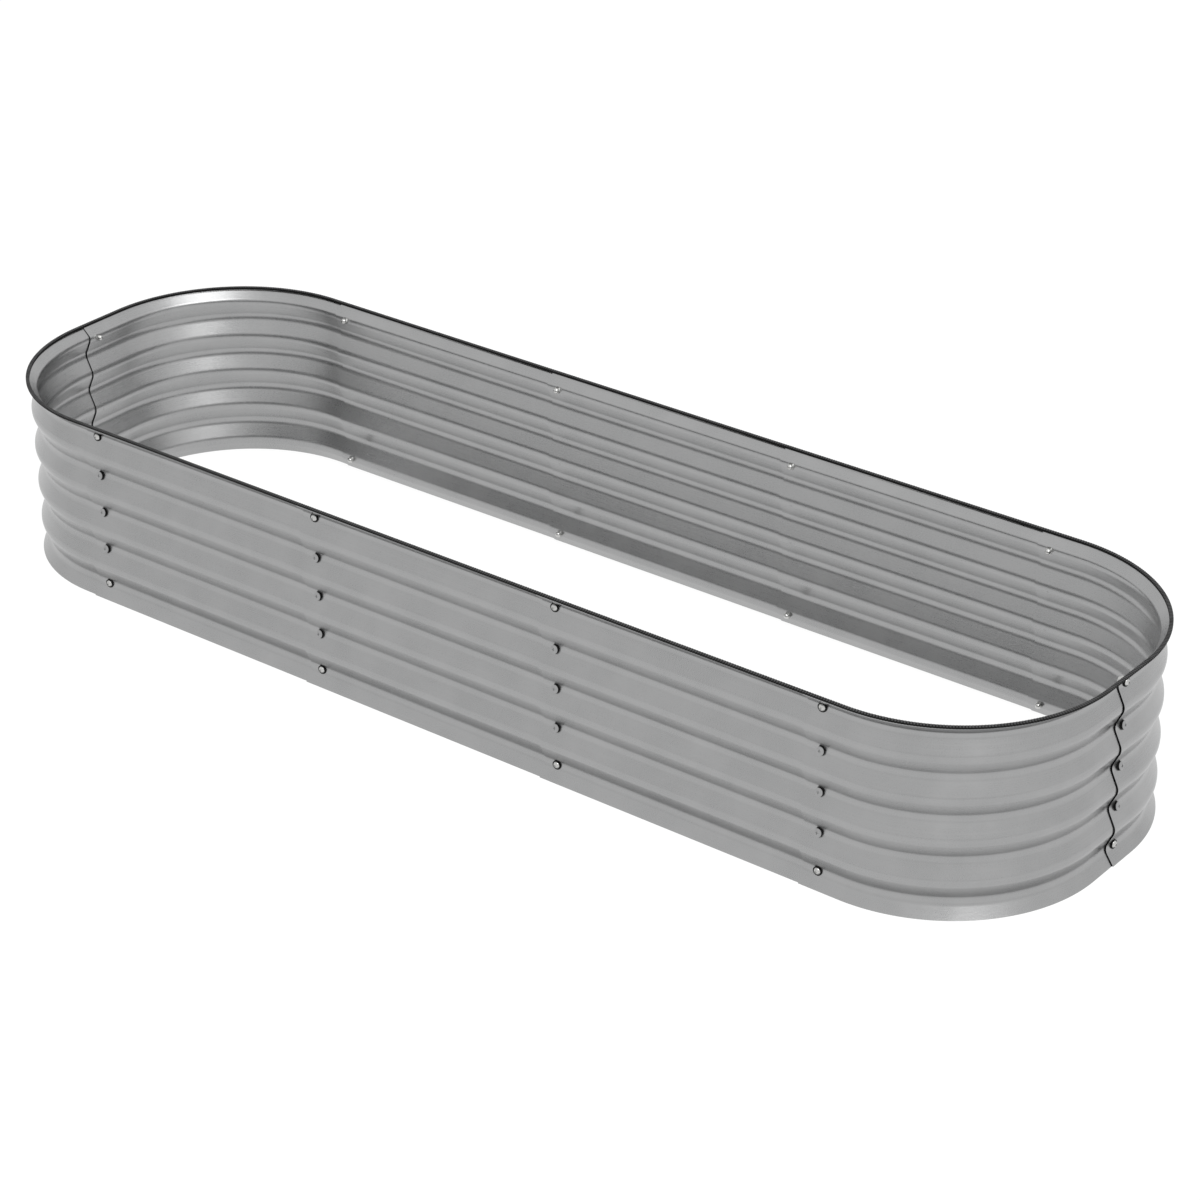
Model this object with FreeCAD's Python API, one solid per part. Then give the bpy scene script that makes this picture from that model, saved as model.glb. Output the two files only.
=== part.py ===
import FreeCAD, Part
import math
import os

# A raised garden bed: an oblong wall of corrugated steel panels with round corners, open at the top and
# at the bottom, with a rubber strip over its top edge. Millimetres, +Z up, +X along the bed, and the
# ground at z = 0. The front is the long side at -Y. Each panel is bolted to the next in a lap, and going
# round from the front to the right end, a panel's start lies outside the lap and its end lies inside it.

# plan, to the outside of the sheet at the bottom of a groove
HALF_WIDTH = 287.5
CORNER_RADIUS = 239.0
CORNER_CENTRE_X = 730.0
CORNER_CENTRE_Y = HALF_WIDTH - CORNER_RADIUS
HALF_LENGTH = CORNER_CENTRE_X + CORNER_RADIUS

# seams
SEAM_SPACING = 458.0      # between the rows of bolts on a long side
SIDE_PANELS = 3           # on each long side
END_SEAM_OFFSET = 17.5    # from the bed's centre line to the bolts of an end seam
SIDE_LAP = 45.0
END_LAP = 35.0
LAP_STEP = 2.0            # how far the outer sheet of a lap stands out from the inner one

# the sheet's section, its outward depth counted from the bottom of a groove
SHEET = 1.2
WAVE_PITCH = 64.5
WAVE_RADIUS = 17.0
FLANK_ANGLE = 25.6        # degrees from vertical
GROOVES = 5
LOWEST_GROOVE_Z = 24.8
FOOT_ANGLE = 33.8
LIP_ANGLE = 48.0          # the flare above the top groove
LIP_RADIUS = 7.0          # from the groove into the flare
LIP_BEND = 2.0            # and from the flare back to the upright lip
LIP_OUT = 14.1            # the lip's outside, out from the groove
LIP_HEIGHT = 19.7         # from the top groove to the sheet's top edge

# the rubber strip over the lip, its heights counted from the top groove
STRIP_WIDTH = 5.8
STRIP_OUT = LIP_OUT - SHEET / 2
STRIP_TOP = 21.3
STRIP_CAP = 1.5
STRIP_SLOT = 3.5
STRIP_INNER_DEPTH = 4.4
STRIP_OUTER_DEPTH = 3.8
STRIP_ROUNDING = 0.8
STRIP_JOINT = 0.6         # gap where the strip's two ends meet

# fasteners: bolts with cap nuts in the top and bottom groove, screws in the grooves between
BOLT_DROP = 1.5           # their axis lies this far below the middle of a groove
BOLT_RADIUS = 3.0
BOLT_HOLE_RADIUS = 3.3
BOLT_FIT = 0.1            # a washer's bore is this much wider than the shank, on its radius
BOLT_HEAD_RADIUS = 5.4
BOLT_HEAD_HEIGHT = 3.2
BOLT_TIP_CHAMFER = 0.5
BOLT_TIP_GAP = 0.6        # from the bolt's tip to the bottom of the nut's bore
WASHER_RADIUS = 6.9
BOLT_WASHER_FRONT = 2.2   # front face of a bolt's washer, out from the groove
NUT_ACROSS_FLATS = 10.0
NUT_HEX_HEIGHT = 4.6
NUT_CAP_RADIUS = 4.6
NUT_HEIGHT = 9.6
NUT_BORE_RADIUS = 3.06
NUT_BORE_DEPTH = 7.4
SCREW_RADIUS = 2.1
SCREW_HOLE_RADIUS = 2.3
SCREW_HEAD_RADIUS = 4.4
SCREW_HEAD_HEIGHT = 1.2
SCREW_FLANGE = 0.6        # a flange under the head covers the whole washer
SCREW_WASHER_RADIUS = 6.4
SCREW_WASHER_FRONT = 3.1
SCREW_TILT = 15.0         # degrees that a screw points up, seated on the groove's lower half
SCREW_REACH = 0.6         # from the inner sheet to the screw's tip
SCREW_POINT = 1.2
RECESS_LENGTH = 4.4       # cross recess in the heads
RECESS_WIDTH = 1.0
RECESS_DEPTH = 1.0
WASHER_SEAT = 0.05        # clearance of a washer's moulded back from the sheet
WASHER_BACK = 1.5         # its back starts this far behind the groove, before it is moulded
CUTTER_BACK = 20.0        # the mould's block reaches this far behind the groove
DRILL_REACH = 12.0        # a drill reaches this far to both sides of the groove

GROOVE_Z = [LOWEST_GROOVE_Z + WAVE_PITCH * number for number in range(GROOVES)]
BOLT_Z = [GROOVE_Z[0] - BOLT_DROP, GROOVE_Z[-1] - BOLT_DROP]
SCREW_Z = GROOVE_Z[1:-1]
LIP_TOP_Z = GROOVE_Z[-1] + LIP_HEIGHT
OUTER_SHEET = LAP_STEP / 2
INNER_FACE = -LAP_STEP / 2 - SHEET

Vector = FreeCAD.Vector
UP = Vector(0, 0, 1)
OUT = Vector(1, 0, 0)


def wave_depth():
    # two arcs' rise and the straight flank between them
    flank = math.radians(FLANK_ANGLE)
    straight = WAVE_PITCH / 2 - 2 * WAVE_RADIUS * math.sin(flank)
    return 2 * WAVE_RADIUS * (1 - math.cos(flank)) + straight * math.tan(flank)


def groove_arc(z, radius, low, high):
    # start, middle and end of an arc that bulges inwards, between two angles in degrees
    spots = []
    for angle in (low, (low + high) / 2, high):
        turn = math.radians(angle)
        spots.append((radius * (1 - math.cos(turn)), z + radius * math.sin(turn)))
    return spots


def ridge_arc(z):
    # the same for an arc that bulges outwards, from its lower flank to its upper one
    spots = []
    for angle in (-FLANK_ANGLE, 0, FLANK_ANGLE):
        turn = math.radians(angle)
        out = wave_depth() - WAVE_RADIUS * (1 - math.cos(turn))
        spots.append((out, z + WAVE_RADIUS * math.sin(turn)))
    return spots


def lip_bend():
    # the arc from the flare to the upright lip; the flare's straight run makes up the rest of its way out
    flare = math.radians(LIP_ANGLE)
    straight = (LIP_OUT - (LIP_RADIUS + LIP_BEND) * (1 - math.cos(flare))) / math.sin(flare)
    centre_z = GROOVE_Z[-1] + (LIP_RADIUS + LIP_BEND) * math.sin(flare) + straight * math.cos(flare)
    spots = []
    for turn in (flare, flare / 2, 0):
        spots.append((LIP_OUT - LIP_BEND * (1 - math.cos(turn)), centre_z - LIP_BEND * math.sin(turn)))
    return spots


def section_arcs():
    # the arcs of the sheet's outside from the foot to the lip
    arcs = []
    for number, z in enumerate(GROOVE_Z):
        low = -FOOT_ANGLE if number == 0 else -FLANK_ANGLE
        high = 0 if number == GROOVES - 1 else FLANK_ANGLE
        arcs.append(groove_arc(z, WAVE_RADIUS, low, high))
        if number < GROOVES - 1:
            arcs.append(ridge_arc(z + WAVE_PITCH / 2))
    arcs.append(groove_arc(GROOVE_Z[-1], LIP_RADIUS, 0, LIP_ANGLE))
    arcs.append(lip_bend())
    return arcs


def section_edges(place):
    # the sheet's outside as edges, with straight runs between its arcs; place gives the point of an
    # outward depth and a height
    arcs = section_arcs()
    foot_out, foot_z = arcs[0][0]
    foot = (foot_out + foot_z * math.tan(math.radians(FOOT_ANGLE)), 0)
    edges = []
    last = place(*foot)
    for arc in arcs:
        start, middle, end = [place(*spot) for spot in arc]
        if (start - last).Length > 0.001:
            edges.append(Part.makeLine(last, start))
        edges.append(Part.Arc(start, middle, end).toShape())
        last = end
    top = place(LIP_OUT, LIP_TOP_Z)
    edges.append(Part.makeLine(last, top))
    return edges, place(*foot), top


def section_face(place_outside, place_inside):
    # the closed section between two copies of the sheet's line
    outside, outside_foot, outside_top = section_edges(place_outside)
    inside, inside_foot, inside_top = section_edges(place_inside)
    ends = [Part.makeLine(outside_top, inside_top), Part.makeLine(inside_foot, outside_foot)]
    return Part.Face(Part.Wire(Part.__sortEdges__(outside + inside + ends)))


def wall_section(distance, x):
    # the sheet's section in the plane at x, with its outside facing -Y and its grooves at -distance
    def outside(out, z):
        return Vector(x, -distance - out, z)

    def inside(out, z):
        return Vector(x, -distance - out + SHEET, z)

    return section_face(outside, inside)


def side_panel(number):
    # a straight panel of the front, which leans by the lap's step from its outer start to its inner end
    seam = (number - SIDE_PANELS / 2) * SEAM_SPACING
    length = SEAM_SPACING + SIDE_LAP
    lean = LAP_STEP * length / SEAM_SPACING
    face = wall_section(HALF_WIDTH + lean / 2, seam - SIDE_LAP / 2)
    return face.extrude(Vector(length, lean, 0))


def corner_panel(start_tab, end_tab):
    # a quarter turn about the origin, from facing -Y to facing +X, with a straight tab at each end
    face = wall_section(CORNER_RADIUS, 0)
    turned = face.copy()
    turned.rotate(Vector(), UP, 90)
    bend = face.revolve(Vector(), UP, 90)
    panel = bend.multiFuse([face.extrude(Vector(-start_tab, 0, 0)), turned.extrude(Vector(0, end_tab, 0))])
    panel.translate(Vector(-LAP_STEP / 2, -LAP_STEP / 2, 0))
    return panel.removeSplitter()


def half_turn(shape):
    other = shape.copy()
    other.rotate(Vector(), UP, 180)
    return other


def make_panels():
    # the bed is the same after half a turn, so the back and the left end repeat the front and the right
    last_seam = SIDE_PANELS / 2 * SEAM_SPACING
    side_tab = CORNER_CENTRE_X - last_seam + SIDE_LAP / 2
    front_right = corner_panel(side_tab, CORNER_CENTRE_Y + END_SEAM_OFFSET + END_LAP / 2)
    front_right.translate(Vector(CORNER_CENTRE_X, -CORNER_CENTRE_Y, 0))
    back_right = corner_panel(CORNER_CENTRE_Y - END_SEAM_OFFSET + END_LAP / 2, side_tab)
    back_right.rotate(Vector(), UP, 90)
    back_right.translate(Vector(CORNER_CENTRE_X, CORNER_CENTRE_Y, 0))
    panels = {
        "corner_panel_front_right": (front_right, ["front_4", "right_end"]),
        "corner_panel_back_right": (back_right, ["right_end", "back_4"]),
        "corner_panel_back_left": (half_turn(front_right), ["back_1", "left_end"]),
        "corner_panel_front_left": (half_turn(back_right), ["left_end", "front_1"]),
    }
    places = ["left", "middle", "right"]
    for number, place in enumerate(places):
        front = side_panel(number)
        seams = ["front_%d" % (number + 1), "front_%d" % (number + 2)]
        panels["side_panel_front_" + place] = (front, seams)
        opposite = SIDE_PANELS - number
        seams = ["back_%d" % opposite, "back_%d" % (opposite + 1)]
        panels["side_panel_back_" + places[opposite - 1]] = (half_turn(front), seams)
    return panels


def make_seams():
    # each seam's point on the bottom of the grooves, and the direction that it faces, in degrees from +X
    seams = {
        "right_end": (HALF_LENGTH, END_SEAM_OFFSET, 0),
        "left_end": (-HALF_LENGTH, -END_SEAM_OFFSET, 180),
    }
    for number in range(SIDE_PANELS + 1):
        x = (number - SIDE_PANELS / 2) * SEAM_SPACING
        seams["front_%d" % (number + 1)] = (x, -HALF_WIDTH, -90)
        seams["back_%d" % (number + 1)] = (x, HALF_WIDTH, 90)
    return seams


def at_seam(shapes, seam):
    # pieces drawn about the Z axis, with +X as outwards, moved to a seam
    x, y, facing = seam
    group = Part.Compound(shapes)
    group.rotate(Vector(), UP, facing)
    group.translate(Vector(x, y, 0))
    return group


def turned_on_x(outline, z):
    # an outline of (along X, radius) spots, turned about the X line at height z; a spot of four numbers
    # is an arc's middle and end
    last = Vector(outline[0][0], 0, z + outline[0][1])
    first = last
    edges = []
    for spot in outline[1:]:
        if len(spot) == 4:
            middle = Vector(spot[0], 0, z + spot[1])
            end = Vector(spot[2], 0, z + spot[3])
            edges.append(Part.Arc(last, middle, end).toShape())
        else:
            end = Vector(spot[0], 0, z + spot[1])
            edges.append(Part.makeLine(last, end))
        last = end
    edges.append(Part.makeLine(last, first))
    return Part.Face(Part.Wire(edges)).revolve(Vector(0, 0, z), OUT, 360)


def dome(base, radius, height):
    # an arc from the rim at base to the top on the axis
    sphere = (radius * radius + height * height) / (2 * height)
    turn = math.asin(radius / sphere) / 2
    middle = base + height - sphere * (1 - math.cos(turn))
    return (middle, sphere * math.sin(turn), base + height, 0)


def cross_recess(top, z):
    slots = []
    for across, high in ((RECESS_LENGTH, RECESS_WIDTH), (RECESS_WIDTH, RECESS_LENGTH)):
        corner = Vector(top - RECESS_DEPTH, -across / 2, z - high / 2)
        slots.append(Part.makeBox(RECESS_DEPTH + 1, across, high, corner))
    return slots[0].fuse(slots[1])


def tilted(shape, z):
    # a shape drawn level at a groove's middle, swung down about the centre of the groove's curve
    shape.rotate(Vector(OUTER_SHEET + WAVE_RADIUS, 0, z), Vector(0, 1, 0), -SCREW_TILT)
    return shape


def bolt(z):
    seat = OUTER_SHEET + BOLT_WASHER_FRONT
    tip = INNER_FACE - NUT_BORE_DEPTH + BOLT_TIP_GAP
    outline = [(tip, 0), (tip, BOLT_RADIUS - BOLT_TIP_CHAMFER), (tip + BOLT_TIP_CHAMFER, BOLT_RADIUS),
               (seat, BOLT_RADIUS), (seat, BOLT_HEAD_RADIUS), dome(seat, BOLT_HEAD_RADIUS, BOLT_HEAD_HEIGHT)]
    return turned_on_x(outline, z).cut(cross_recess(seat + BOLT_HEAD_HEIGHT, z))


def screw(z):
    seat = OUTER_SHEET + SCREW_WASHER_FRONT
    head = seat + SCREW_FLANGE
    tip = INNER_FACE - SCREW_REACH
    outline = [(tip, 0), (tip + SCREW_POINT, SCREW_RADIUS), (seat, SCREW_RADIUS),
               (seat, SCREW_WASHER_RADIUS), (head, SCREW_WASHER_RADIUS), (head, SCREW_HEAD_RADIUS),
               dome(head, SCREW_HEAD_RADIUS, SCREW_HEAD_HEIGHT)]
    return tilted(turned_on_x(outline, z).cut(cross_recess(head + SCREW_HEAD_HEIGHT, z)), z)


def cap_nut(z):
    # a hexagon against the inner sheet, with a closed dome over the bolt's end
    corner = NUT_ACROSS_FLATS / math.sqrt(3)
    spots = []
    for number in range(7):
        turn = math.radians(60 * number)
        spots.append(Vector(INNER_FACE - NUT_HEX_HEIGHT, corner * math.cos(turn), z + corner * math.sin(turn)))
    hexagon = Part.Face(Part.makePolygon(spots)).extrude(Vector(NUT_HEX_HEIGHT, 0, 0))
    neck = INNER_FACE - NUT_HEIGHT + NUT_CAP_RADIUS
    round_off = NUT_CAP_RADIUS * math.sqrt(0.5)
    outline = [(INNER_FACE - 1, 0), (INNER_FACE - 1, NUT_CAP_RADIUS), (neck, NUT_CAP_RADIUS),
               (neck - round_off, round_off, neck - NUT_CAP_RADIUS, 0)]
    bore = Part.makeCylinder(NUT_BORE_RADIUS, NUT_BORE_DEPTH, Vector(INNER_FACE, 0, z), -OUT)
    return hexagon.fuse(turned_on_x(outline, z)).cut(bore)


def washer_cutter():
    # what lies behind the outer sheet's outside, to mould the back of a washer to the groove
    reach = 2 * WASHER_RADIUS + 1
    outside, foot, top = section_edges(lambda out, z: Vector(OUTER_SHEET + WASHER_SEAT + out, -reach / 2, z))
    low = Vector(-CUTTER_BACK, -reach / 2, foot.z)
    high = Vector(-CUTTER_BACK, -reach / 2, top.z)
    ends = [Part.makeLine(top, high), Part.makeLine(high, low), Part.makeLine(low, foot)]
    return Part.Face(Part.Wire(Part.__sortEdges__(outside + ends))).extrude(Vector(0, reach, 0))


def washer(z, radius, bore, front):
    start = Vector(OUTER_SHEET - WASHER_BACK, 0, z)
    ring = Part.makeCylinder(radius, WASHER_BACK + front, start, OUT)
    return ring.cut(Part.makeCylinder(bore, WASHER_BACK + front, start, OUT))


def make_fasteners(seam, cutter):
    # each kind of fastener in one seam, by the name of its group
    bolt_bore = BOLT_RADIUS + BOLT_FIT
    screw_bore = SCREW_RADIUS + BOLT_FIT
    washers = [washer(z, WASHER_RADIUS, bolt_bore, BOLT_WASHER_FRONT) for z in BOLT_Z]
    for z in SCREW_Z:
        washers.append(tilted(washer(z, SCREW_WASHER_RADIUS, screw_bore, SCREW_WASHER_FRONT), z))
    groups = {
        "bolts": [bolt(z) for z in BOLT_Z],
        "cap_nuts": [cap_nut(z) for z in BOLT_Z],
        "screws": [screw(z) for z in SCREW_Z],
        "washers": [shape.cut(cutter) for shape in washers],
    }
    return {kind: at_seam(shapes, seam) for kind, shapes in groups.items()}


def drill(z, radius):
    return Part.makeCylinder(radius, 2 * DRILL_REACH, Vector(-DRILL_REACH, 0, z), OUT)


def seam_drill(seam):
    # the holes of one seam through both sheets
    drills = [drill(z, BOLT_HOLE_RADIUS) for z in BOLT_Z]
    drills += [tilted(drill(z, SCREW_HOLE_RADIUS), z) for z in SCREW_Z]
    return at_seam(drills, seam)


def strip_section(distance):
    # the U of the strip in the plane x = 0, facing -Y, with its shorter leg outside
    def place(across, rise):
        return Vector(0, -distance - STRIP_OUT - across, GROOVE_Z[-1] + rise)

    side = STRIP_WIDTH / 2
    slot = STRIP_SLOT / 2
    inner_low = STRIP_TOP - STRIP_INNER_DEPTH
    outer_low = STRIP_TOP - STRIP_OUTER_DEPTH
    ceiling = STRIP_TOP - STRIP_CAP
    shoulder = STRIP_TOP - STRIP_ROUNDING
    inset = STRIP_ROUNDING * (1 - math.sqrt(0.5))
    inner_leg = [place(-side, shoulder), place(-side, inner_low), place(-slot, inner_low)]
    slot_ceiling = [place(-slot, ceiling), place(slot, ceiling)]
    outer_leg = [place(slot, outer_low), place(side, outer_low), place(side, shoulder)]
    spots = inner_leg + slot_ceiling + outer_leg
    edges = [Part.makeLine(first, second) for first, second in zip(spots, spots[1:])]
    crown = [place(side - STRIP_ROUNDING, STRIP_TOP), place(STRIP_ROUNDING - side, STRIP_TOP)]
    edges.append(Part.Arc(spots[-1], place(side - inset, STRIP_TOP - inset), crown[0]).toShape())
    edges.append(Part.makeLine(crown[0], crown[1]))
    edges.append(Part.Arc(crown[1], place(inset - side, STRIP_TOP - inset), spots[0]).toShape())
    return Part.Face(Part.Wire(Part.__sortEdges__(edges)))


def edge_strip():
    # half the way round, then the other half, with a joint in the middle of the left end
    face = strip_section(CORNER_RADIUS)
    side = face.extrude(Vector(2 * CORNER_CENTRE_X, 0, 0))
    side.translate(Vector(-CORNER_CENTRE_X, -CORNER_CENTRE_Y, 0))
    first_bend = face.revolve(Vector(), UP, 90)
    second_bend = first_bend.copy()
    second_bend.rotate(Vector(), UP, 90)
    first_bend.translate(Vector(CORNER_CENTRE_X, -CORNER_CENTRE_Y, 0))
    second_bend.translate(Vector(CORNER_CENTRE_X, CORNER_CENTRE_Y, 0))
    end = face.extrude(Vector(2 * CORNER_CENTRE_Y, 0, 0))
    end.rotate(Vector(), UP, 90)
    end.translate(Vector(CORNER_CENTRE_X, -CORNER_CENTRE_Y, 0))
    half = [side, first_bend, end, second_bend]
    ring = half[0].multiFuse(half[1:] + [half_turn(piece) for piece in half])
    corner = Vector(-HALF_LENGTH - 2 * STRIP_OUT, -STRIP_JOINT / 2, GROOVE_Z[-1])
    joint = Part.makeBox(3 * STRIP_OUT, STRIP_JOINT, 2 * STRIP_TOP, corner)
    return ring.cut(joint).removeSplitter()


def write(name, shape):
    shape.exportStep(os.path.join("parts", name + ".step"))
    print(name, "solids", len(shape.Solids), "volume", round(shape.Volume), "valid", shape.isValid())


os.makedirs("parts", exist_ok=True)
all_seams = make_seams()
for panel_name, (panel, panel_seams) in make_panels().items():
    for seam_name in panel_seams:
        panel = panel.cut(seam_drill(all_seams[seam_name]))
    write(panel_name, panel)
write("edge_strip", edge_strip())
groove_cutter = washer_cutter()
for seam_name, seam_place in all_seams.items():
    for kind, fastener_group in make_fasteners(seam_place, groove_cutter).items():
        write(kind + "_" + seam_name, fastener_group)
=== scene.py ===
import math

import bpy
import numpy as np
from mathutils import Matrix, Vector


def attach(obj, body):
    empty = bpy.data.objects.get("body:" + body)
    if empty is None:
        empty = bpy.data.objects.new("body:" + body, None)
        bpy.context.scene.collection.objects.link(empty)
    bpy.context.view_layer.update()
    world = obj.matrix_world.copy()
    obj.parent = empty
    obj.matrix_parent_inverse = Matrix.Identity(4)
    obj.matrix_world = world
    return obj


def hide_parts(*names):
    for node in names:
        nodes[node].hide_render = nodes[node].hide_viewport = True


# A raised garden bed on a white studio floor: ten corrugated sheet panels lapped and bolted in a ring,
# a ribbed rubber strip over the top edge, bright bolts and cap nuts, and flanged screws between them.

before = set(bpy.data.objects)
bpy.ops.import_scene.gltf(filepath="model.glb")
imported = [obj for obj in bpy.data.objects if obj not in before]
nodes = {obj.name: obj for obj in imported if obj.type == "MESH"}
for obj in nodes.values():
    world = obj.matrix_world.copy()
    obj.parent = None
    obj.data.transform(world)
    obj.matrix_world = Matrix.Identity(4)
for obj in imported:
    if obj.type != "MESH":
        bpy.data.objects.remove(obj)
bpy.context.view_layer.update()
scene = bpy.context.scene
print("frame loaded,", len(nodes), "nodes")


# Meshes

def facingOut(points, quads):
    # six times the volume under the quads, summed over both triangles of each, is positive when they
    # face outwards; otherwise every quad is turned round
    a, b, c, d = (points[quads[:, k]] for k in range(4))
    volume = np.einsum("ij,ij->", a, np.cross(b, c)) + np.einsum("ij,ij->", a, np.cross(c, d))
    return quads if volume > 0 else quads[:, ::-1]


def meshPiece(name, points, quads, uv, slotNumbers, materials, sharpAngle):
    # one object at the origin from arrays: points (n, 3), quads (m, 4), uv per point, a material per quad;
    # edges sharper than the angle, in degrees, stay hard
    quads = facingOut(points, quads)
    mesh = bpy.data.meshes.new(name)
    mesh.vertices.add(len(points))
    mesh.vertices.foreach_set("co", points.astype(np.float32).ravel())
    mesh.loops.add(quads.size)
    mesh.loops.foreach_set("vertex_index", quads.astype(np.int32).ravel())
    mesh.polygons.add(len(quads))
    mesh.polygons.foreach_set("loop_start", np.arange(0, quads.size, 4, dtype=np.int32))
    mesh.update(calc_edges=True)
    layer = mesh.uv_layers.new(name="UVMap")
    layer.data.foreach_set("uv", uv[quads.ravel()].astype(np.float32).ravel())
    for material in materials:
        mesh.materials.append(material)
    mesh.polygons.foreach_set("material_index", slotNumbers.astype(np.int32))
    mesh.polygons.foreach_set("use_smooth", np.ones(len(quads), dtype=bool))
    mesh.set_sharp_from_angle(angle=math.radians(sharpAngle))
    mesh.validate()
    piece = bpy.data.objects.new(name, mesh)
    scene.collection.objects.link(piece)
    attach(piece, "root")
    return piece


def tubeQuads(around, along):
    # quads of a grid whose rows go round a closed outline and whose columns go along an open path, and the
    # row of each quad
    r, c = np.meshgrid(np.arange(around), np.arange(along - 1), indexing="ij")
    nextRow, nextColumn = (r + 1) % around, c + 1
    corners = [r * along + c, nextRow * along + c, nextRow * along + nextColumn, r * along + nextColumn]
    return np.stack([k.ravel() for k in corners], axis=1), r.ravel()


# Shader node groups

def newGroup(name, inputs, outputs):
    # a node group with inputs as (label, kind, value) and outputs as (label, kind)
    group = bpy.data.node_groups.new(name, "ShaderNodeTree")
    for label, kind, value in inputs:
        socket = group.interface.new_socket(label, in_out="INPUT", socket_type=kind)
        if value is not None:
            socket.default_value = value
    for label, kind in outputs:
        group.interface.new_socket(label, in_out="OUTPUT", socket_type=kind)
    return group, group.nodes.new("NodeGroupInput"), group.nodes.new("NodeGroupOutput")


def mathNode(tree, operation, first, second=None, third=None, clamp=False):
    # one step of arithmetic on sockets or numbers; MULTIPLY_ADD is first * second + third
    node = tree.nodes.new("ShaderNodeMath")
    node.operation = operation
    node.use_clamp = clamp
    for socket, value in zip(node.inputs, (first, second, third)):
        if isinstance(value, bpy.types.NodeSocket):
            tree.links.new(value, socket)
        elif value is not None:
            socket.default_value = value
    return node.outputs[0]


def noiseNode(tree, vector, scale, detail, roughness):
    # a noise from 0 to 1, with its scale from a socket, and its detail and roughness fixed
    node = tree.nodes.new("ShaderNodeTexNoise")
    node.inputs["Detail"].default_value = detail
    node.inputs["Roughness"].default_value = roughness
    tree.links.new(vector, node.inputs["Vector"])
    tree.links.new(scale, node.inputs["Scale"])
    return node.outputs["Fac"]


def grainGroup():
    # a fine grain and soft mottling, each a noise less its mean of one half
    group, entry, leave = newGroup(
        "fineGrain",
        [("Vector", "NodeSocketVector", None), ("Grain scale", "NodeSocketFloat", 900.0),
         ("Mottle scale", "NodeSocketFloat", 22.0)],
        [("Grain", "NodeSocketFloat"), ("Mottle", "NodeSocketFloat")])
    vector = entry.outputs["Vector"]
    grain = noiseNode(group, vector, entry.outputs["Grain scale"], detail=3.0, roughness=0.6)
    mottle = noiseNode(group, vector, entry.outputs["Mottle scale"], detail=4.0, roughness=0.55)
    group.links.new(mathNode(group, "SUBTRACT", grain, 0.5), leave.inputs["Grain"])
    group.links.new(mathNode(group, "SUBTRACT", mottle, 0.5), leave.inputs["Mottle"])
    return group


lineSqueeze = 0.004


def streakGroup():
    # long lines along U: a noise on the UV with U scaled down, less its mean of one half
    group, entry, leave = newGroup(
        "rollingLines",
        [("UV", "NodeSocketVector", None), ("Line scale", "NodeSocketFloat", 600.0)],
        [("Lines", "NodeSocketFloat")])
    stretch = group.nodes.new("ShaderNodeVectorMath")
    stretch.operation = "MULTIPLY"
    stretch.inputs[1].default_value = (lineSqueeze, 1.0, 1.0)
    group.links.new(entry.outputs["UV"], stretch.inputs[0])
    lines = noiseNode(group, stretch.outputs[0], entry.outputs["Line scale"], detail=2.0, roughness=0.6)
    group.links.new(mathNode(group, "SUBTRACT", lines, 0.5), leave.inputs["Lines"])
    return group


fineGrain = grainGroup()
rollingLines = streakGroup()


def placeGroup(tree, group, vectorSocket, **values):
    # a group in a material, fed with a vector; each value is named after its socket, with _ for a space
    node = tree.nodes.new("ShaderNodeGroup")
    node.node_tree = group
    tree.links.new(vectorSocket, node.inputs[0])
    for label, value in values.items():
        node.inputs[label.replace("_", " ")].default_value = value
    return node


def newMaterial(name):
    # a material with its node tree and its Principled BSDF
    material = bpy.data.materials.new(name)
    material.use_nodes = True
    tree = material.node_tree
    shader = tree.nodes["Principled BSDF"]
    return material, tree, shader


def variedColour(tree, shader, dark, light, factor):
    # base colour = dark + (light - dark) * factor; a colour mix has its two colours on inputs 6 and 7, and
    # the mixed one on output 2
    mix = tree.nodes.new("ShaderNodeMix")
    mix.data_type = "RGBA"
    mix.inputs[6].default_value = (*dark, 1)
    mix.inputs[7].default_value = (*light, 1)
    tree.links.new(factor, mix.inputs[0])
    tree.links.new(mix.outputs[2], shader.inputs["Base Color"])


def addBump(tree, shader, height, distance):
    # the surface stands out by height * distance, in metres
    bump = tree.nodes.new("ShaderNodeBump")
    bump.inputs["Distance"].default_value = distance
    tree.links.new(height, bump.inputs["Height"])
    tree.links.new(bump.outputs["Normal"], shader.inputs["Normal"])


def grainedMaterial(name, look, sunk=None):
    # tone = middle + mottleTone * mottle + grainTone * grain, less how far a point is sunk where the piece
    # says so, kept from 0 to 1; roughness = roughness + grainRoughness * grain
    material, tree, shader = newMaterial(name)
    place = tree.nodes.new("ShaderNodeTexCoord")
    grain = placeGroup(tree, fineGrain, place.outputs["Object"], Grain_scale=look["grainScale"],
                       Mottle_scale=look["mottleScale"])
    tone = mathNode(tree, "MULTIPLY_ADD", grain.outputs["Mottle"], look["mottleTone"], look["middle"])
    tone = mathNode(tree, "MULTIPLY_ADD", grain.outputs["Grain"], look["grainTone"], tone, clamp=sunk is None)
    if sunk is not None:
        depth = tree.nodes.new("ShaderNodeAttribute")
        depth.attribute_name = sunk
        tone = mathNode(tree, "SUBTRACT", tone, depth.outputs["Fac"], clamp=True)
    variedColour(tree, shader, look["dark"], look["light"], tone)
    rough = mathNode(tree, "MULTIPLY_ADD", grain.outputs["Grain"], look["grainRoughness"], look["roughness"])
    tree.links.new(rough, shader.inputs["Roughness"])
    shader.inputs["Metallic"].default_value = look["metallic"]
    shader.inputs["Specular IOR Level"].default_value = look["shine"]
    addBump(tree, shader, grain.outputs["Grain"], look["grainHeight"])
    return material


# Sheet metal: a rough zinc coating with a fine grain, slight mottling and faint lines from the rolls, and
# sheared edges painted near-black as painted shade, standing for the dark gaps where the sheets lap

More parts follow.
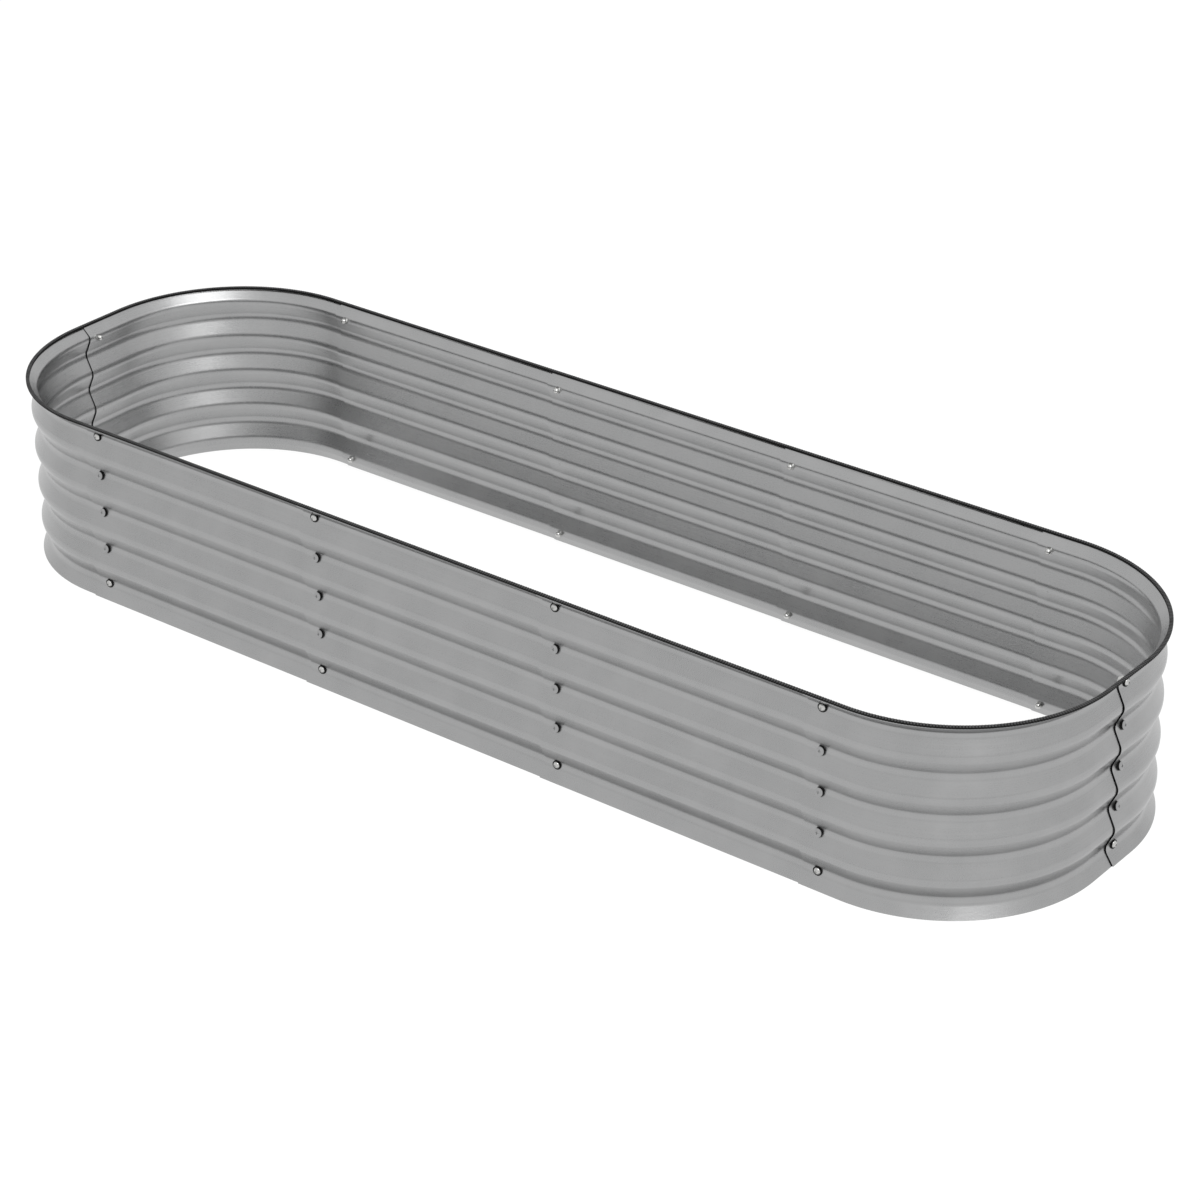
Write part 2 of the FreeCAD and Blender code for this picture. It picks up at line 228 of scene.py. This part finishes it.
zincLook = {
    "dark": (0.330, 0.332, 0.334),
    "light": (0.385, 0.386, 0.387),
    "middle": 0.5,
    "mottleTone": 1.4,
    "grainTone": 0.7,
    "lineTone": 0.5,
    "roughness": 0.29,
    "grainRoughness": 0.16,
    "mottleRoughness": 0.08,
    "lineRoughness": 0.06,
    "grainScale": 1100.0,
    "mottleScale": 16.0,
    "lineScale": 420.0,
    "grainHeight": 0.00004,
    "lineHeight": 0.3,
    "flakeScale": 430.0,
    "flakeHeight": 1.75,
}
# painted shade: the cut edges are near-black, standing for the shade in the gaps where the sheets lap
edgeShadeLook = {
    "dark": (0.001, 0.001, 0.001),
    "light": (0.005, 0.005, 0.005),
    "middle": 0.5,
    "mottleTone": 0.0,
    "grainTone": 1.2,
    "grainScale": 1400.0,
    "mottleScale": 60.0,
    "roughness": 0.6,
    "grainRoughness": 0.3,
    "metallic": 0.0,
    "shine": 0.04,
    "grainHeight": 0.00008,
}


def zincSheet():
    # colour, roughness and height are each a middle value plus a share of the grain, the mottling and the
    # lines from the rolls; the height also has a coarser flake, in shares of the grain's height
    look = zincLook
    material, tree, shader = newMaterial("zincSheet")
    place = tree.nodes.new("ShaderNodeTexCoord")
    noises = placeGroup(tree, fineGrain, place.outputs["Object"], Grain_scale=look["grainScale"],
                        Mottle_scale=look["mottleScale"])
    flakes = placeGroup(tree, fineGrain, place.outputs["Object"], Grain_scale=look["flakeScale"])
    rolled = placeGroup(tree, rollingLines, place.outputs["UV"], Line_scale=look["lineScale"])
    grain, mottle = noises.outputs["Grain"], noises.outputs["Mottle"]
    flake, lines = flakes.outputs["Grain"], rolled.outputs["Lines"]
    tone = mathNode(tree, "MULTIPLY_ADD", mottle, look["mottleTone"], look["middle"])
    tone = mathNode(tree, "MULTIPLY_ADD", grain, look["grainTone"], tone)
    tone = mathNode(tree, "MULTIPLY_ADD", lines, look["lineTone"], tone, clamp=True)
    variedColour(tree, shader, look["dark"], look["light"], tone)
    rough = mathNode(tree, "MULTIPLY_ADD", grain, look["grainRoughness"], look["roughness"])
    rough = mathNode(tree, "MULTIPLY_ADD", mottle, look["mottleRoughness"], rough)
    rough = mathNode(tree, "MULTIPLY_ADD", lines, look["lineRoughness"], rough)
    tree.links.new(rough, shader.inputs["Roughness"])
    shader.inputs["Metallic"].default_value = 1.0
    height = mathNode(tree, "MULTIPLY_ADD", lines, look["lineHeight"], grain)
    height = mathNode(tree, "MULTIPLY_ADD", flake, look["flakeHeight"], height)
    addBump(tree, shader, height, look["grainHeight"])
    return material


zincMaterial = zincSheet()
# painted shade on the cut edges
edgeShadeMaterial = grainedMaterial("cutEdgePaintedShade", edgeShadeLook)


# Panels

sheetShape = {
    "thickness": 0.0012,
    "pitch": 0.0645,
    "radius": 0.017,
    "flankAngle": 25.6,
    "grooves": 5,
    "lowestGroove": 0.0248,
    "footAngle": 33.8,
    "lipAngle": 48.0,
    "lipRadius": 0.0070,
    "lipBend": 0.0020,
    "lipOut": 0.0141,
    "lipHeight": 0.0197,
    "wavePoints": 17,
    "lipPoints": 14,
    "bendPoints": 10,
    "sharpAngle": 35.0,
}
bedPlan = {
    "halfWidth": 0.2875,
    "cornerRadius": 0.239,
    "cornerX": 0.730,
    "seamSpacing": 0.458,
    "sidePanels": 3,
    "endSeam": 0.0175,
    "sideLap": 0.045,
    "endLap": 0.035,
    "lapStep": 0.002,
    "cornerPoints": 65,
    "sidePoints": 5,
    "sideInset": 0.02,
    "cutEndSteps": (0.0, 0.0004, 0.0015, 0.004),
}
bedPlan["cornerY"] = bedPlan["halfWidth"] - bedPlan["cornerRadius"]
topGroove = sheetShape["lowestGroove"] + sheetShape["pitch"] * (sheetShape["grooves"] - 1)


def sheetOutline():
    # outward depth and height along the sheet from foot to lip: arcs that bulge inwards at the grooves,
    # r (1 - cos a), and outwards at the ridges, depth - r (1 - cos a), joined by straight flanks; the flare
    # over the top groove bends back the same way to an upright lip
    s = sheetShape
    flank, foot, lip = (math.radians(s[k]) for k in ("flankAngle", "footAngle", "lipAngle"))
    r = s["radius"]
    straight = s["pitch"] / 2 - 2 * r * math.sin(flank)
    depth = 2 * r * (1 - math.cos(flank)) + straight * math.tan(flank)
    parts = []
    for number in range(s["grooves"]):
        z = s["lowestGroove"] + s["pitch"] * number
        low = -foot if number == 0 else -flank
        high = 0 if number == s["grooves"] - 1 else flank
        turn = np.linspace(low, high, s["wavePoints"])
        parts.append(np.stack([r * (1 - np.cos(turn)), z + r * np.sin(turn)], axis=1))
        if number < s["grooves"] - 1:
            turn = np.linspace(-flank, flank, s["wavePoints"])
            out = depth - r * (1 - np.cos(turn))
            parts.append(np.stack([out, z + s["pitch"] / 2 + r * np.sin(turn)], axis=1))
    turn = np.linspace(0, lip, s["lipPoints"])[1:]
    out = s["lipRadius"] * (1 - np.cos(turn))
    parts.append(np.stack([out, topGroove + s["lipRadius"] * np.sin(turn)], axis=1))
    bends = s["lipRadius"] + s["lipBend"]
    straight = (s["lipOut"] - bends * (1 - math.cos(lip))) / math.sin(lip)
    bendZ = topGroove + bends * math.sin(lip) + straight * math.cos(lip)
    turn = np.linspace(lip, 0, s["bendPoints"])
    out = s["lipOut"] - s["lipBend"] * (1 - np.cos(turn))
    parts.append(np.stack([out, bendZ - s["lipBend"] * np.sin(turn)], axis=1))
    footOut, footZ = parts[0][0]
    start = np.array([[footOut + footZ * math.tan(foot), 0]])
    end = np.array([[s["lipOut"], topGroove + s["lipHeight"]]])
    return np.concatenate([start, *parts, end])


def sidePath(number):
    # a straight front panel's line, which leans by the lap's step over a panel's spacing, with its points
    # close together at the two cut ends
    p = bedPlan
    seam = (number - p["sidePanels"] / 2) * p["seamSpacing"]
    length = p["seamSpacing"] + p["sideLap"]
    steps = np.array(p["cutEndSteps"])
    middle = np.linspace(p["sideInset"], length - p["sideInset"], p["sidePoints"])
    t = np.concatenate([steps, middle, length - steps[::-1]])
    lean = p["lapStep"] * length / p["seamSpacing"]
    place = np.stack([seam - p["sideLap"] / 2 + t, -p["halfWidth"] - lean / 2 + lean * t / length], axis=1)
    return place, np.tile([0.0, -1.0], (len(t), 1)), t


def cornerPath(startTab, endTab):
    # a quarter circle from facing -Y to facing +X, with a straight tab at each end
    r = bedPlan["cornerRadius"]
    steps = np.array(bedPlan["cutEndSteps"])
    first = np.concatenate([steps, [startTab / 2]])
    last = np.concatenate([[endTab / 2], endTab - steps[::-1]])
    turn = np.linspace(-math.pi / 2, 0, bedPlan["cornerPoints"])
    facing = np.concatenate([np.full(len(first), -math.pi / 2), turn, np.zeros(len(last))])
    normal = np.stack([np.cos(facing), np.sin(facing)], axis=1)
    slide = np.concatenate([first - startTab, np.zeros(len(turn)), last])
    place = normal * r + np.stack([-normal[:, 1], normal[:, 0]], axis=1) * slide[:, None]
    place -= bedPlan["lapStep"] / 2
    along = np.concatenate([first, startTab + r * (turn + math.pi / 2), startTab + r * math.pi / 2 + last])
    return place, normal, along


def turned(vectors, quarters):
    # (x cos a - y sin a, x sin a + y cos a), with a as a number of quarter turns
    angle = quarters * math.pi / 2
    turn = np.array([[math.cos(angle), math.sin(angle)], [-math.sin(angle), math.cos(angle)]])
    return vectors @ turn


def sheetPanel(name, place, normal, along):
    # the outline carried along the path, point = place + normal * out, with an inner copy further in by the
    # thickness; the top and bottom edges and the two ends get the near-black material of painted shade
    outline = sheetOutline()
    inner = outline[::-1] - [sheetShape["thickness"], 0]
    loop = np.concatenate([outline, inner])
    count, steps = len(outline), len(along)
    plan = place[None] + normal[None] * loop[:, 0][:, None, None]
    height = np.repeat(loop[:, 1][:, None], steps, axis=1)
    points = np.concatenate([plan, height[:, :, None]], axis=2).reshape(-1, 3)
    travel = np.concatenate([[0], np.cumsum(np.linalg.norm(np.diff(outline, axis=0), axis=1))])
    travel = np.concatenate([travel, travel[::-1]])
    uv = np.stack([np.tile(along, 2 * count), np.repeat(travel, steps)], axis=1)
    quads, rows = tubeQuads(2 * count, steps)
    slots = np.isin(rows, [count - 1, 2 * count - 1]).astype(int)
    k = np.arange(count - 1)
    opposite = 2 * count - 1 - k
    caps = []
    for column, order in ((0, 1), (steps - 1, -1)):
        corners = [k, opposite, opposite - 1, k + 1]
        cap = np.stack(corners, axis=1) * steps + column
        caps.append(cap[:, ::order])
    quads = np.concatenate([quads, *caps])
    slots = np.concatenate([slots, np.ones(2 * (count - 1), dtype=int)])
    piece = meshPiece(name.replace("_", " ").title().replace(" ", ""), points, quads, uv, slots,
                      [zincMaterial, edgeShadeMaterial], sheetShape["sharpAngle"])
    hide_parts(name)


def makePanels():
    # a corner panel in each quarter, with its tabs in turn, and the side panels of the front repeated after
    # half a turn as those of the back
    p = bedPlan
    lastSeam = p["sidePanels"] / 2 * p["seamSpacing"]
    sideTab = p["cornerX"] - lastSeam + p["sideLap"] / 2
    longTab = p["cornerY"] + p["endSeam"] + p["endLap"] / 2
    shortTab = p["cornerY"] - p["endSeam"] + p["endLap"] / 2
    tabs = [(sideTab, longTab), (shortTab, sideTab), (sideTab, longTab), (shortTab, sideTab)]
    names = ["front_right", "back_right", "back_left", "front_left"]
    centres = np.array([[1, -1], [1, 1], [-1, 1], [-1, -1]]) * [p["cornerX"], p["cornerY"]]
    for quarter in range(4):
        place, normal, along = cornerPath(*tabs[quarter])
        sheetPanel("corner_panel_" + names[quarter], turned(place, quarter) + centres[quarter],
                   turned(normal, quarter), along)
    spots = ["left", "middle", "right"]
    for number in range(p["sidePanels"]):
        place, normal, along = sidePath(number)
        sheetPanel("side_panel_front_" + spots[number], place, normal, along)
        sheetPanel("side_panel_back_" + spots[-1 - number], -place, -normal, along)


makePanels()
print("panels made")


# Rubber strip: a U over the lip, with fine ribs across its outside, painted lighter on top as painted light
# and darker between them

stripShape = {
    "width": 0.0058,
    "out": 0.0135,
    "rise": 0.0213,
    "cap": 0.0015,
    "slot": 0.0035,
    "innerDepth": 0.0044,
    "outerDepth": 0.0038,
    "rounding": 0.0008,
    "joint": 0.0006,
    "tip": 0.0003,
    "ribs": 1108,
    "ribDepth": 0.00035,
    "ribSteps": (0.0, 0.30, 0.44, 0.86),
    "sharpAngle": 40.0,
}
rubberLook = {
    "dark": (0.0015, 0.0015, 0.0015),
    "light": (0.009, 0.009, 0.009),
    "middle": 0.4,
    "mottleTone": 1.6,
    "grainTone": 0.8,
    "grainScale": 1500.0,
    "mottleScale": 70.0,
    "roughness": 0.5,
    "grainRoughness": 0.25,
    "metallic": 0.0,
    "shine": 0.12,
    "grainHeight": 0.00006,
}
# painted light: a lighter copy of the black rubber for the strip's top, which faces the light
paintedLightTopLook = {
    **rubberLook,
    "dark": (0.003, 0.003, 0.003),
    "light": (0.060, 0.060, 0.061),
    "middle": 0.9,
    "mottleTone": 1.2,
    "mottleScale": 50.0,
}
rubberMaterial = grainedMaterial("blackRubber", rubberLook)
paintedLightTopMaterial = grainedMaterial("ribbedRubberPaintedLight", paintedLightTopLook, sunk="sunk")


def stripOutline():
    # the U as (across, height) points from the middle of its top, with its shorter leg outside, and how far
    # each point sinks between two ribs: the last two numbers of a row are its shares of the ribs' depth
    s = stripShape
    side, slot, r, tip = s["width"] / 2, s["slot"] / 2, s["rounding"], s["tip"]
    inset = r * (1 - math.sqrt(0.5))
    legs = []
    for depth in (s["outerDepth"], s["innerDepth"]):
        foot = [(slot, -depth, 0, 0), (side - tip, -depth, -0.5, 0.5), (side, tip - depth, -1, 0)]
        shoulder = [(side, -r, -1, 0), (side - inset, -inset, -0.7, -0.7), (side - r, 0, 0, -1)]
        legs.append(foot + shoulder)
    outer = np.array(legs[0])
    inner = np.array(legs[1])[::-1] * [-1, 1, -1, 1]
    ceiling = np.array([[-slot, -s["cap"], 0, 0], [slot, -s["cap"], 0, 0]])
    rows = np.concatenate([outer, inner, ceiling])
    return rows[:, :2], rows[:, 2:] * s["ribDepth"]


def aroundBed(distance, radius):
    # a spot on the line of the grooves and its outward normal, after a distance round the bed from the middle
    # of the left end; distances at the corners are measured at the given radius
    p = bedPlan
    flat, side, bend = p["cornerY"], 2 * p["cornerX"], radius * math.pi / 2
    lengths = np.array([flat, bend, side, bend, 2 * flat, bend, side, bend, flat])
    starts = np.concatenate([[0], np.cumsum(lengths)])
    part = np.clip(np.searchsorted(starts, distance, side="right") - 1, 0, len(lengths) - 1)
    into = distance - starts[part]
    isBend = part % 2 == 1
    facing = math.pi + (part + 1) // 2 * math.pi / 2
    facing = np.where(isBend, facing - math.pi / 2 + into / radius, facing)
    normal = np.stack([np.cos(facing), np.sin(facing)], axis=1)
    heading = np.stack([-normal[:, 1], normal[:, 0]], axis=1)
    centreX = np.array([-1, -1, -1, 1, 1, 1, 1, -1, -1])[part] * p["cornerX"]
    centreY = np.array([0, -1, -1, -1, -1, 1, 1, 1, 1])[part] * p["cornerY"]
    slide = np.where(isBend, 0, into)
    spot = np.stack([centreX, centreY], axis=1) + normal * p["cornerRadius"] + heading * slide[:, None]
    return spot, normal


def rubberStrip():
    # the outline carried round the bed, and sunk between the ribs at two of every four steps; the two ends
    # are closed by quads across the U, and the rows of its top get the lighter material of painted light.
    # Rows
    # 0 to 5 go up the outer leg, 6 to 11 down the inner one, and 12 and 13 are the slot's ceiling
    s, p = stripShape, bedPlan
    outline, sink = stripOutline()
    radius = p["cornerRadius"] + s["out"]
    length = 4 * p["cornerX"] + 4 * p["cornerY"] + 2 * math.pi * radius
    step = (np.arange(s["ribs"])[:, None] + s["ribSteps"]).ravel() / s["ribs"]
    distance = s["joint"] / 2 + step * (length - s["joint"])
    distance = np.concatenate([distance, [length - s["joint"] / 2]])
    sunk = np.concatenate([np.tile([1.0, 1.0, 0.0, 0.0], s["ribs"]), [1.0]])
    spot, normal = aroundBed(distance, radius)
    out = s["out"] + outline[:, 0][:, None] + sink[:, 0][:, None] * sunk
    z = topGroove + s["rise"] + outline[:, 1][:, None] + sink[:, 1][:, None] * sunk
    plan = spot[None] + normal[None] * out[:, :, None]
    points = np.concatenate([plan, z[:, :, None]], axis=2).reshape(-1, 3)
    count, steps = len(outline), len(distance)
    edge = np.concatenate([[0], np.cumsum(np.linalg.norm(np.diff(outline, axis=0), axis=1))])
    uv = np.stack([np.tile(distance, count), np.repeat(edge, steps)], axis=1)
    quads, rows = tubeQuads(count, steps)
    caps = []
    across = [(0, 1, 2, 3), (0, 3, 4, 13), (13, 4, 5, 6), (13, 6, 7, 12), (12, 7, 8, 11), (11, 8, 9, 10)]
    for column, order in ((0, -1), (steps - 1, 1)):
        caps.append(np.array(across)[:, ::order] * steps + column)
    # the rows of the strip's top, which are painted lighter as painted light
    litTopRows = np.isin(rows, [3, 4, 5, 6, 7]).astype(int)
    slots = np.concatenate([litTopRows, np.zeros(2 * len(across), dtype=int)])
    quads = np.concatenate([quads, *caps])
    piece = meshPiece("RibbedStrip", points, quads, uv, slots, [rubberMaterial, paintedLightTopMaterial],
                      s["sharpAngle"])
    layer = piece.data.attributes.new("sunk", "FLOAT", "POINT")
    layer.data.foreach_set("value", np.tile(sunk, count).astype(np.float32))
    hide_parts("edge_strip")


rubberStrip()
print("strip made")


# Fasteners: the frame's own solids, smoothed, with plated and painted finishes

steelLook = {
    "dark": (0.42, 0.42, 0.41),
    "light": (0.62, 0.62, 0.61),
    "middle": 0.5,
    "mottleTone": 1.5,
    "grainTone": 0.0,
    "grainScale": 2200.0,
    "mottleScale": 240.0,
    "roughness": 0.16,
    "grainRoughness": 0.2,
    "metallic": 1.0,
    "shine": 0.5,
    "grainHeight": 0.00003,
}
paintLook = {
    "dark": (0.325, 0.327, 0.330),
    "light": (0.380, 0.381, 0.382),
    "middle": 0.5,
    "mottleTone": 1.4,
    "grainTone": 0.7,
    "grainScale": 1300.0,
    "mottleScale": 160.0,
    "roughness": 0.40,
    "grainRoughness": 0.2,
    "metallic": 1.0,
    "shine": 0.5,
    "grainHeight": 0.00004,
}
fastenerMesh = {
    "weld": 0.00001,
    "sharpAngle": 32.0,
}


def dressFasteners():
    # each group's finish by the first words of its name, on faces smoothed up to the sharp angle
    steel = grainedMaterial("brightSteel", steelLook)
    paint = grainedMaterial("greyHardware", paintLook)
    finishes = {"bolts": steel, "cap_nuts": steel, "screws": paint, "washers": rubberMaterial}
    for name, node in nodes.items():
        kind = next((k for k in finishes if name.startswith(k + "_")), None)
        if kind is None:
            continue
        node.data.materials.clear()
        node.data.materials.append(finishes[kind])
        node.data.polygons.foreach_set("use_smooth", np.ones(len(node.data.polygons), dtype=bool))
        weld = node.modifiers.new("weld", "WELD")
        weld.merge_threshold = fastenerMesh["weld"]
        split = node.modifiers.new("split", "EDGE_SPLIT")
        split.split_angle = math.radians(fastenerMesh["sharpAngle"])


dressFasteners()
print("fasteners dressed")


# Studio: white floor and world, one soft key lamp, and the camera

studio = {
    "floorHalf": 30.0,
    "floorBounce": 0.75,
    "floorFaint": 0.08,
    "floorGlow": 0.95,
    "skyLight": 1.0,
    "horizonLight": 0.85,
    "horizonTop": 0.30,
    "keyDirection": (-26.0, 58.0),
    "keyDistance": 7.0,
    "keySize": (5.4, 6.4),
    "keyPower": 260.0,
    "aim": (0.1, 0.0, 0.15),
}
view = {
    "azimuth": 38.5,
    "elevation": 28.18,
    "roll": -0.38,
    "target": (-0.0322, 0.1415, 0.0248),
    "distance": 5.224,
    "focalPixels": 3318.0,
    "framePixels": 1200.0,
    "sensorWidth": 36.0,
    "farthest": 100.0,
}


def grey(level):
    # an even colour, with full alpha
    return (level, level, level, 1)


def makeFloor():
    # seen by the camera or in a reflection, the floor is nearly white by itself and keeps a faint shadow; to
    # all other light it is a plain pale surface
    h = studio["floorHalf"]
    mesh = bpy.data.meshes.new("Floor")
    mesh.from_pydata([(-h, -h, 0), (h, -h, 0), (h, h, 0), (-h, h, 0)], [], [(0, 1, 2, 3)])
    floor = bpy.data.objects.new("Floor", mesh)
    scene.collection.objects.link(floor)
    material = bpy.data.materials.new("floorWhite")
    material.use_nodes = True
    tree = material.node_tree
    tree.nodes.clear()
    rays = tree.nodes.new("ShaderNodeLightPath")
    seen = mathNode(tree, "MAXIMUM", rays.outputs["Is Camera Ray"], rays.outputs["Is Glossy Ray"])
    seen = mathNode(tree, "MAXIMUM", seen, rays.outputs["Is Transmission Ray"])
    plain = tree.nodes.new("ShaderNodeBsdfDiffuse")
    plain.inputs["Color"].default_value = grey(studio["floorBounce"])
    faint = tree.nodes.new("ShaderNodeBsdfDiffuse")
    faint.inputs["Color"].default_value = grey(studio["floorFaint"])
    glow = tree.nodes.new("ShaderNodeEmission")
    glow.inputs["Strength"].default_value = studio["floorGlow"]
    both = tree.nodes.new("ShaderNodeAddShader")
    tree.links.new(faint.outputs[0], both.inputs[0])
    tree.links.new(glow.outputs[0], both.inputs[1])
    mix = tree.nodes.new("ShaderNodeMixShader")
    tree.links.new(seen, mix.inputs[0])
    tree.links.new(plain.outputs[0], mix.inputs[1])
    tree.links.new(both.outputs[0], mix.inputs[2])
    output = tree.nodes.new("ShaderNodeOutputMaterial")
    tree.links.new(mix.outputs[0], output.inputs["Surface"])
    mesh.materials.append(material)


def makeLight():
    # world strength = horizonLight + (skyLight - horizonLight) * height / horizonTop up to the horizon's top,
    # and white to the camera; the key lamp stands at its distance in its direction and faces the aim
    world = bpy.data.worlds.new("studioWorld")
    scene.world = world
    world.use_nodes = True
    tree = world.node_tree
    place = tree.nodes.new("ShaderNodeTexCoord")
    parts = tree.nodes.new("ShaderNodeSeparateXYZ")
    tree.links.new(place.outputs["Generated"], parts.inputs[0])
    rise = mathNode(tree, "DIVIDE", parts.outputs["Z"], studio["horizonTop"], clamp=True)
    level = mathNode(tree, "MULTIPLY_ADD", rise, studio["skyLight"] - studio["horizonLight"],
                     studio["horizonLight"])
    rays = tree.nodes.new("ShaderNodeLightPath")
    level = mathNode(tree, "MAXIMUM", level, rays.outputs["Is Camera Ray"])
    background = tree.nodes["Background"]
    background.inputs["Color"].default_value = grey(1)
    tree.links.new(level, background.inputs["Strength"])
    azimuth, elevation = (math.radians(a) for a in studio["keyDirection"])
    direction = Vector((math.cos(azimuth) * math.cos(elevation), math.sin(azimuth) * math.cos(elevation),
                        math.sin(elevation)))
    lamp = bpy.data.lights.new("key", "AREA")
    lamp.shape = "ELLIPSE"
    lamp.size, lamp.size_y = studio["keySize"]
    lamp.energy = studio["keyPower"]
    key = bpy.data.objects.new("key", lamp)
    key.location = Vector(studio["aim"]) + direction * studio["keyDistance"]
    key.rotation_euler = direction.to_track_quat("Z", "Y").to_euler()
    scene.collection.objects.link(key)


def makeCamera():
    # back is from the target to the camera; right and up are turned about it by the roll
    azimuth, elevation, roll = (math.radians(view[k]) for k in ("azimuth", "elevation", "roll"))
    back = Vector((math.sin(azimuth) * math.cos(elevation), -math.cos(azimuth) * math.cos(elevation),
                   math.sin(elevation)))
    right = Vector((math.cos(azimuth), math.sin(azimuth), 0))
    up = back.cross(right)
    rolledRight = right * math.cos(roll) + up * math.sin(roll)
    rolledUp = up * math.cos(roll) - right * math.sin(roll)
    data = bpy.data.cameras.new("camera")
    data.sensor_width = view["sensorWidth"]
    data.lens = view["sensorWidth"] * view["focalPixels"] / view["framePixels"]
    data.clip_end = view["farthest"]
    camera = bpy.data.objects.new("camera", data)
    turn = Matrix((rolledRight, rolledUp, back)).transposed().to_4x4()
    camera.matrix_world = Matrix.Translation(Vector(view["target"]) + back * view["distance"]) @ turn
    scene.collection.objects.link(camera)
    scene.camera = camera


makeFloor()
makeLight()
makeCamera()
scene.view_settings.view_transform = "Standard"
print("studio ready")
